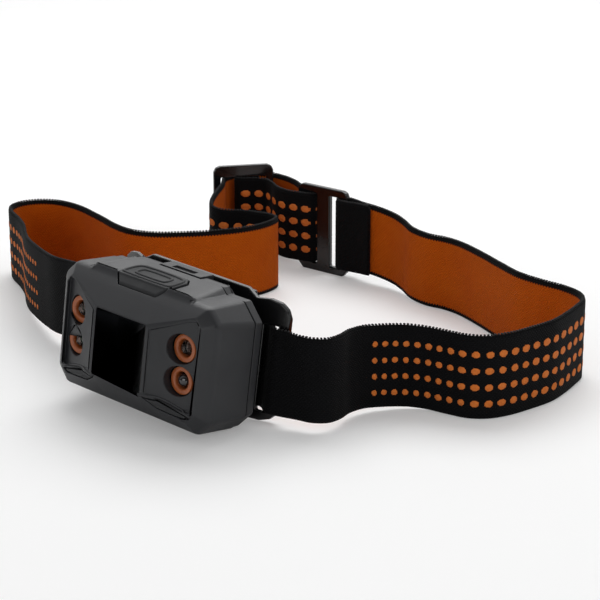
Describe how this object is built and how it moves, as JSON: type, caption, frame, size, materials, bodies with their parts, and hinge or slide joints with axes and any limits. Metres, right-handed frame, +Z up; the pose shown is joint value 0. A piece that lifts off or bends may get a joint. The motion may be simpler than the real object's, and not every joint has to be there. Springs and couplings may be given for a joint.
{
  "type": "headlamp",
  "caption": "Elastic-strap headlamp: a tilting lamp housing with round main light, side lights, top button and cell compartment, on a bracket with adjustable head strap.",
  "frame": {"origin": "on the surface that the headlamp lies on, under the middle of its bounding box", "axes": "+Z up; the lamp looks along -Y, leaning back a little and rolled; +X is the longer way of the laid-out strap, to the right of someone who faces the lamp"},
  "size_m": [0.2174, 0.1636, 0.0428],
  "materials": {
    "housing": "satin dark grey moulded ABS",
    "dark_nylon": "plain moulded nylon",
    "soft_rubber": "soft-touch rubber",
    "gloss_black": "polished black acetal",
    "copper_accent": "metallic copper-coloured lacquer",
    "orange_cup": "metallic orange-brown plastic",
    "mirror_bowl": "vacuum-metallised plastic",
    "clear_window": "clear polycarbonate",
    "led_clear": "clear epoxy",
    "led_dark": "dark infrared-pass epoxy",
    "phosphor": "yellow phosphor under a clear dome",
    "board_green": "solder mask",
    "steel": "nickel-plated",
    "spring_brass": "spring brass",
    "silicone": "grey silicone",
    "cell_wrap": "printed metal jacket, bare",
    "webbing": "woven elastic, black outside with orange dots, orange inside"
  },
  "bodies": {
    "bracket": {"bracket": "gloss_black", "tilt_hinge_pin": "steel", "strap": "webbing", "buckle": "gloss_black"},
    "rear_housing": {"rear_shell": "housing", "gasket": "silicone", "cell_tray": "dark_nylon", "battery_1": "cell_wrap", "battery_2": "cell_wrap", "battery_3": "cell_wrap", "contact_spring_1": "steel", "contact_spring_2": "steel", "contact_spring_3": "steel", "contact_plate_plus": "spring_brass", "contact_bridge_left": "spring_brass", "contact_bridge_right": "spring_brass", "contact_plate_minus": "spring_brass", "opening_hinge_pin": "steel", "latch_pin": "steel"},
    "front_housing": {"front_shell": "housing", "accent_bezel": "copper_accent", "reflector": "mirror_bowl", "main_lens": "clear_window", "main_led": "phosphor", "led_board": "board_green", "tact_switch": "gloss_black", "grip_inlay_right": "soft_rubber", "grip_inlay_left": "soft_rubber", "led_cup_1": "orange_cup", "led_cup_2": "orange_cup", "led_cup_3": "orange_cup", "led_cup_4": "orange_cup", "small_led_1": "led_clear", "small_led_2": "led_clear", "small_led_3": "led_dark", "small_led_4": "led_clear", "board_screw_1": "steel", "board_screw_2": "steel", "board_screw_3": "steel", "board_screw_4": "steel", "contact_finger_plus": "spring_brass", "contact_finger_minus": "spring_brass"},
    "button": {"power_button": "soft_rubber", "switch_plunger": "dark_nylon"},
    "latch": {"battery_latch": "housing"},
    "slider": {"slider": "gloss_black"}
  },
  "joints": [
    {"name": "tilt", "type": "hinge", "parent": "bracket", "child": "rear_housing", "pos_m": [0.02704, -0.05462, 0.00454], "axis": [0.9983, -0.0058, -0.0585], "range_deg": [0, 60]},
    {"name": "opening", "type": "hinge", "parent": "rear_housing", "child": "front_housing", "pos_m": [0.02686, -0.06153, 0.00232], "axis": [0.9983, -0.0058, -0.0585], "range_deg": [0, 85]},
    {"name": "latch_lift", "type": "hinge", "parent": "rear_housing", "child": "latch", "pos_m": [0.02901, -0.05189, 0.03798], "axis": [-0.9983, 0.0058, 0.0585], "range_deg": [0, 14], "stiffness_Nm_per_rad": 0.05, "springref_deg": -5.73},
    {"name": "button_press", "type": "slide", "parent": "front_housing", "child": "button", "axis": [-0.0588, -0.0991, -0.9933], "range_m": [0, 0.0007], "stiffness_N_per_m": 1500, "springref_m": -0.0003},
    {"name": "slider_swing", "type": "hinge", "parent": "bracket", "child": "slider", "pos_m": [-0.0608, 0.06854, 0.017], "axis": [0, 0, 1], "range_deg": [-6, 4]}
  ]
}
